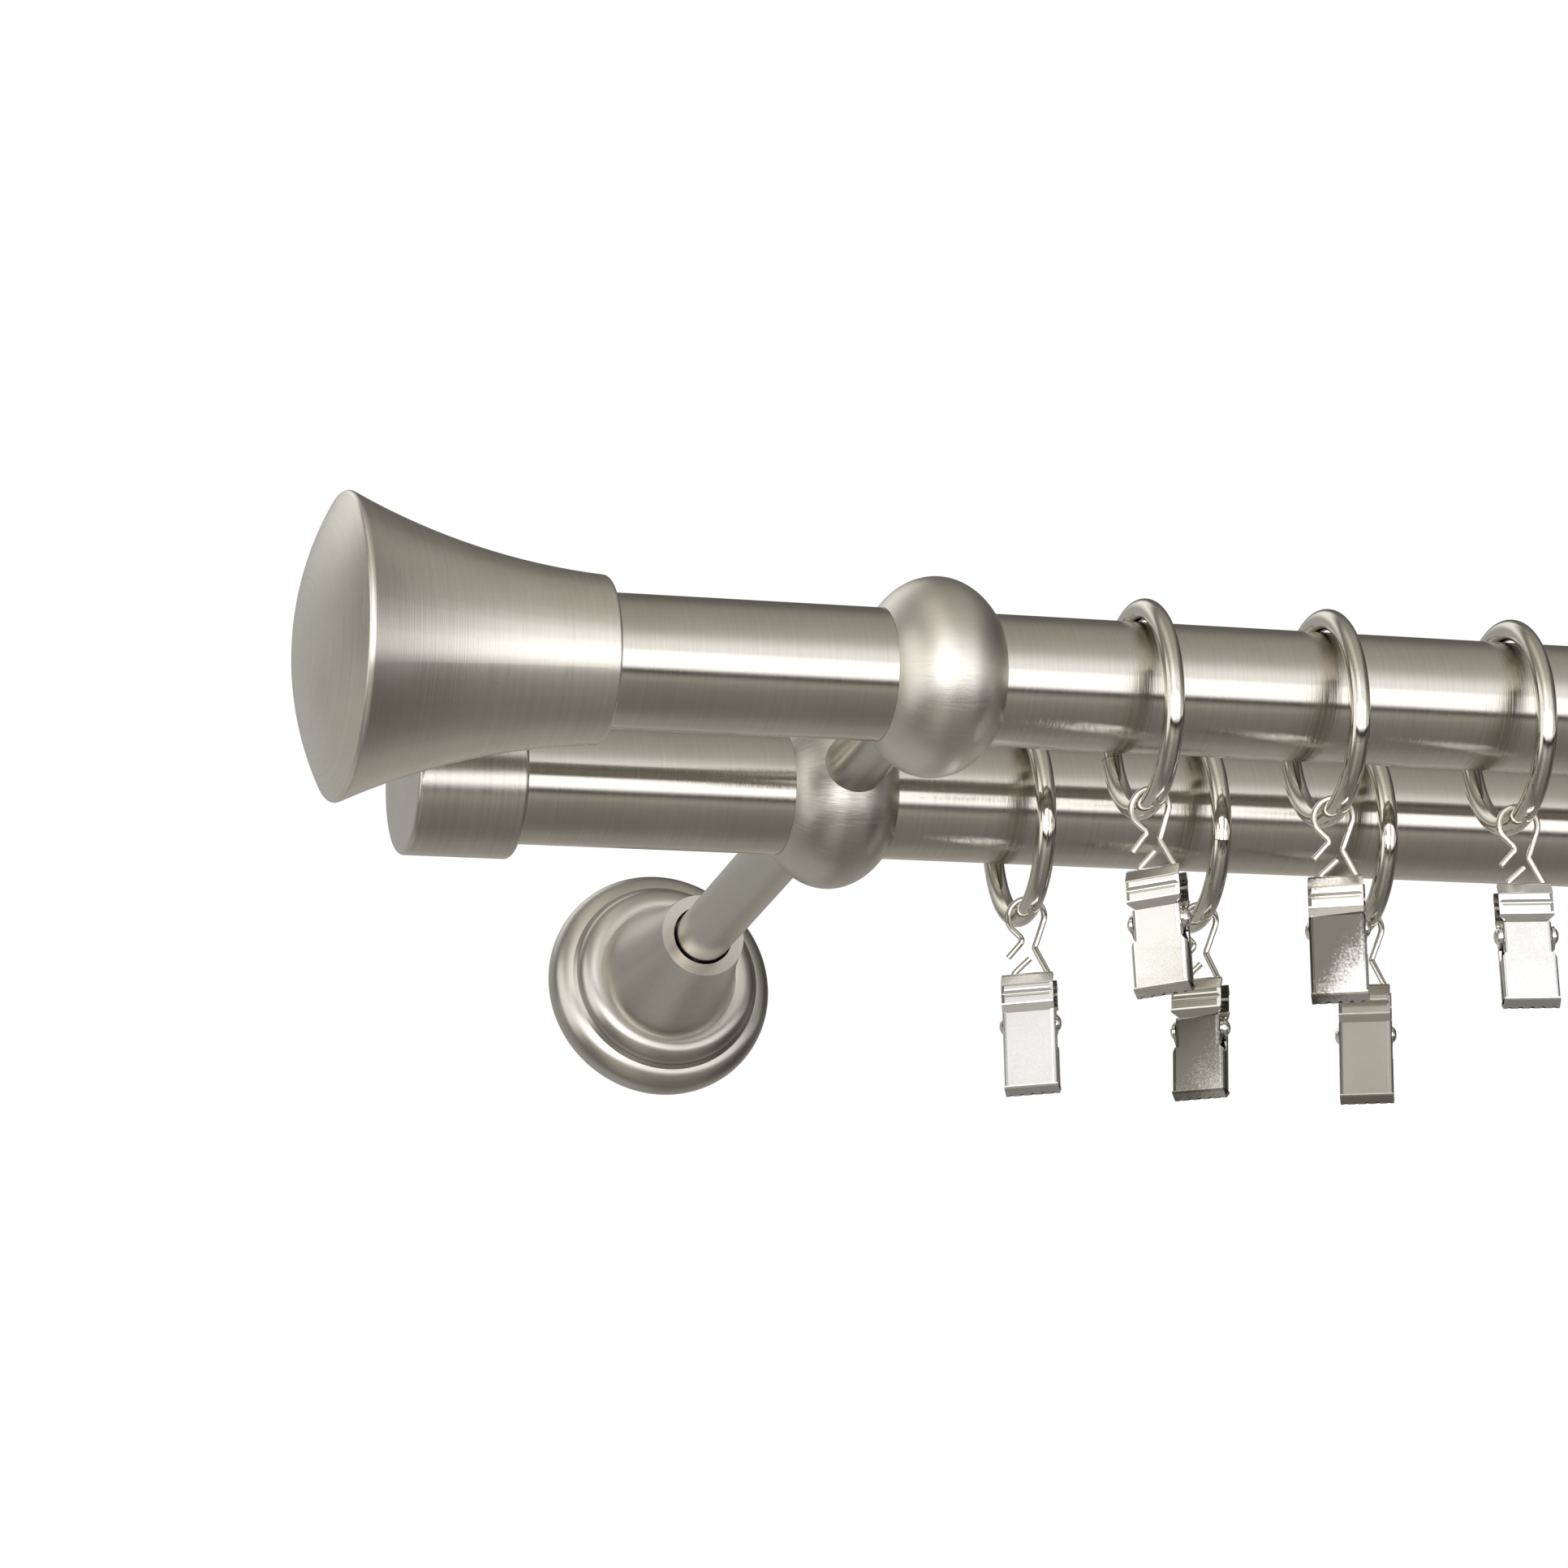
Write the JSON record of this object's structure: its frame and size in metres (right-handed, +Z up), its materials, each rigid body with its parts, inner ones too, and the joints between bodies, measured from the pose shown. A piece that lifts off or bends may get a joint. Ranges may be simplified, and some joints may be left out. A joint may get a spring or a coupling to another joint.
{
  "type": "double curtain pole",
  "caption": "Double curtain pole: brushed metal tubes on wall brackets, with trumpet finials, end caps and sliding rings that carry sprung clips.",
  "frame": {"origin": "on the wall face, midway between the two wall plates, at the height of the bracket stems", "axes": "+X along the poles to the right as seen from the room, +Y into the wall, +Z up"},
  "size_m": [1.271, 0.2212, 0.0893],
  "materials": {
    "brushed_nickel": "brushed satin nickel plating",
    "polished_nickel": "polished nickel plating on steel wire",
    "nickel_plated_sheet": "bright nickel plating on pressed steel sheet",
    "spring_steel": "dark steel",
    "zinc_plated_steel": "zinc plating"
  },
  "bodies": {
    "fixed_set": {"front_pole": "brushed_nickel", "rear_pole": "brushed_nickel", "left_finial": "brushed_nickel", "right_finial": "brushed_nickel", "left_end_cap": "brushed_nickel", "right_end_cap": "brushed_nickel", "left_front_holder": "brushed_nickel", "left_rear_holder": "brushed_nickel", "left_spacer_stem": "brushed_nickel", "left_wall_stem": "brushed_nickel", "left_wall_plate": "zinc_plated_steel", "left_wall_cover": "brushed_nickel", "right_front_holder": "brushed_nickel", "right_rear_holder": "brushed_nickel", "right_spacer_stem": "brushed_nickel", "right_wall_stem": "brushed_nickel", "right_wall_plate": "zinc_plated_steel", "right_wall_cover": "brushed_nickel", "holder_set_screws": "spring_steel", "end_set_screws": "spring_steel"},
    "front_ring_1": {"front_ring_1": "polished_nickel"},
    "front_hook_1": {"front_hook_1": "polished_nickel"},
    "front_clip_1": {"front_clip_jaw_1": "nickel_plated_sheet", "front_clip_rivet_1": "nickel_plated_sheet", "front_clip_spring_1": "spring_steel"},
    "front_clip_back_1": {"front_clip_back_jaw_1": "nickel_plated_sheet"},
    "front_ring_2": {"front_ring_2": "polished_nickel"},
    "front_hook_2": {"front_hook_2": "polished_nickel"},
    "front_clip_2": {"front_clip_jaw_2": "nickel_plated_sheet", "front_clip_rivet_2": "nickel_plated_sheet", "front_clip_spring_2": "spring_steel"},
    "front_clip_back_2": {"front_clip_back_jaw_2": "nickel_plated_sheet"},
    "front_ring_3": {"front_ring_3": "polished_nickel"},
    "front_hook_3": {"front_hook_3": "polished_nickel"},
    "front_clip_3": {"front_clip_jaw_3": "nickel_plated_sheet", "front_clip_rivet_3": "nickel_plated_sheet", "front_clip_spring_3": "spring_steel"},
    "front_clip_back_3": {"front_clip_back_jaw_3": "nickel_plated_sheet"},
    "rear_ring_1": {"rear_ring_1": "polished_nickel"},
    "rear_hook_1": {"rear_hook_1": "polished_nickel"},
    "rear_clip_1": {"rear_clip_jaw_1": "nickel_plated_sheet", "rear_clip_rivet_1": "nickel_plated_sheet", "rear_clip_spring_1": "spring_steel"},
    "rear_clip_back_1": {"rear_clip_back_jaw_1": "nickel_plated_sheet"},
    "rear_ring_2": {"rear_ring_2": "polished_nickel"},
    "rear_hook_2": {"rear_hook_2": "polished_nickel"},
    "rear_clip_2": {"rear_clip_jaw_2": "nickel_plated_sheet", "rear_clip_rivet_2": "nickel_plated_sheet", "rear_clip_spring_2": "spring_steel"},
    "rear_clip_back_2": {"rear_clip_back_jaw_2": "nickel_plated_sheet"},
    "rear_ring_3": {"rear_ring_3": "polished_nickel"},
    "rear_hook_3": {"rear_hook_3": "polished_nickel"},
    "rear_clip_3": {"rear_clip_jaw_3": "nickel_plated_sheet", "rear_clip_rivet_3": "nickel_plated_sheet", "rear_clip_spring_3": "spring_steel"},
    "rear_clip_back_3": {"rear_clip_back_jaw_3": "nickel_plated_sheet"}
  },
  "joints": [
    {"name": "front_ring_slide_1", "type": "slide", "parent": "fixed_set", "child": "front_ring_1", "axis": [1, 0, 0], "range_m": [-0.026, 0.02]},
    {"name": "front_hook_swing_1", "type": "hinge", "parent": "front_ring_1", "child": "front_hook_1", "pos_m": [-0.4737, -0.193, -0.02328], "axis": [0.0454, 0.999, 0], "range_deg": [-25, 25]},
    {"name": "front_clip_swing_1", "type": "hinge", "parent": "front_hook_1", "child": "front_clip_1", "pos_m": [-0.47388, -0.19285, -0.03704], "axis": [0.7659, -0.6427, -0.0175], "range_deg": [0, 55]},
    {"name": "front_clip_open_1", "type": "hinge", "parent": "front_clip_1", "child": "front_clip_back_1", "pos_m": [-0.47343, -0.19205, -0.04624], "axis": [0.7659, -0.6427, -0.0175], "range_deg": [0, 8], "stiffness_Nm_per_rad": 0.05, "springref_deg": -28.65, "deforming": ["front_clip_spring_1"]},
    {"name": "front_ring_slide_2", "type": "slide", "parent": "fixed_set", "child": "front_ring_2", "axis": [1, 0, 0], "range_m": [-0.02, 0.02]},
    {"name": "front_hook_swing_2", "type": "hinge", "parent": "front_ring_2", "child": "front_hook_2", "pos_m": [-0.43635, -0.193, -0.02328], "axis": [0.0454, 0.999, 0], "range_deg": [-25, 25]},
    {"name": "front_clip_swing_2", "type": "hinge", "parent": "front_hook_2", "child": "front_clip_2", "pos_m": [-0.4371, -0.1926, -0.03725], "axis": [0.8813, -0.4686, -0.061], "range_deg": [0, 55]},
    {"name": "front_clip_open_2", "type": "hinge", "parent": "front_clip_2", "child": "front_clip_back_2", "pos_m": [-0.43718, -0.19154, -0.04644], "axis": [0.8813, -0.4686, -0.061], "range_deg": [0, 8], "stiffness_Nm_per_rad": 0.05, "springref_deg": -28.65, "deforming": ["front_clip_spring_2"]},
    {"name": "front_ring_slide_3", "type": "slide", "parent": "fixed_set", "child": "front_ring_3", "axis": [1, 0, 0], "range_m": [-0.02, 0.89]},
    {"name": "front_hook_swing_3", "type": "hinge", "parent": "front_ring_3", "child": "front_hook_3", "pos_m": [-0.39785, -0.193, -0.02328], "axis": [0.0454, 0.999, 0], "range_deg": [-25, 25]},
    {"name": "front_clip_swing_3", "type": "hinge", "parent": "front_hook_3", "child": "front_clip_3", "pos_m": [-0.39832, -0.19287, -0.03727], "axis": [0.9653, -0.2587, -0.0349], "range_deg": [0, 55]},
    {"name": "front_clip_open_3", "type": "hinge", "parent": "front_clip_3", "child": "front_clip_back_3", "pos_m": [-0.3984, -0.19192, -0.04647], "axis": [0.9653, -0.2587, -0.0349], "range_deg": [0, 8], "stiffness_Nm_per_rad": 0.05, "springref_deg": -28.65, "deforming": ["front_clip_spring_3"]},
    {"name": "rear_ring_slide_1", "type": "slide", "parent": "fixed_set", "child": "rear_ring_1", "axis": [1, 0, 0], "range_m": [-0.026, 0.02]},
    {"name": "rear_hook_swing_1", "type": "hinge", "parent": "rear_ring_1", "child": "rear_hook_1", "pos_m": [-0.4753, -0.128, -0.02328], "axis": [0.0593, 0.9982, 0], "range_deg": [-25, 25]},
    {"name": "rear_clip_swing_1", "type": "hinge", "parent": "rear_hook_1", "child": "rear_clip_1", "pos_m": [-0.47583, -0.12769, -0.03727], "axis": [0.8652, -0.4995, -0.0436], "range_deg": [0, 55]},
    {"name": "rear_clip_open_1", "type": "hinge", "parent": "rear_clip_1", "child": "rear_clip_back_1", "pos_m": [-0.47573, -0.12671, -0.04646], "axis": [0.8652, -0.4995, -0.0436], "range_deg": [0, 8], "stiffness_Nm_per_rad": 0.05, "springref_deg": -28.65, "deforming": ["rear_clip_spring_1"]},
    {"name": "rear_ring_slide_2", "type": "slide", "parent": "fixed_set", "child": "rear_ring_2", "axis": [1, 0, 0], "range_m": [-0.02, 0.02]},
    {"name": "rear_hook_swing_2", "type": "hinge", "parent": "rear_ring_2", "child": "rear_hook_2", "pos_m": [-0.4383, -0.128, -0.02328], "axis": [0.0523, 0.9986, 0], "range_deg": [-25, 25]},
    {"name": "rear_clip_swing_2", "type": "hinge", "parent": "rear_hook_2", "child": "rear_clip_2", "pos_m": [-0.43922, -0.12723, -0.03701], "axis": [0.7631, -0.6403, -0.0872], "range_deg": [0, 55]},
    {"name": "rear_clip_open_2", "type": "hinge", "parent": "rear_clip_2", "child": "rear_clip_back_2", "pos_m": [-0.43926, -0.12602, -0.04618], "axis": [0.7631, -0.6403, -0.0872], "range_deg": [0, 8], "stiffness_Nm_per_rad": 0.05, "springref_deg": -28.65, "deforming": ["rear_clip_spring_2"]},
    {"name": "rear_ring_slide_3", "type": "slide", "parent": "fixed_set", "child": "rear_ring_3", "axis": [1, 0, 0], "range_m": [-0.02, 0.89]},
    {"name": "rear_hook_swing_3", "type": "hinge", "parent": "rear_ring_3", "child": "rear_hook_3", "pos_m": [-0.4022, -0.128, -0.02328], "axis": [0.0523, 0.9986, 0], "range_deg": [-25, 25]},
    {"name": "rear_clip_swing_3", "type": "hinge", "parent": "rear_hook_3", "child": "rear_clip_3", "pos_m": [-0.40318, -0.1275, -0.03724], "axis": [0.8883, -0.4526, -0.0785], "range_deg": [0, 55]},
    {"name": "rear_clip_open_3", "type": "hinge", "parent": "rear_clip_3", "child": "rear_clip_back_3", "pos_m": [-0.40341, -0.12637, -0.04641], "axis": [0.8883, -0.4526, -0.0785], "range_deg": [0, 8], "stiffness_Nm_per_rad": 0.05, "springref_deg": -28.65, "deforming": ["rear_clip_spring_3"]}
  ]
}
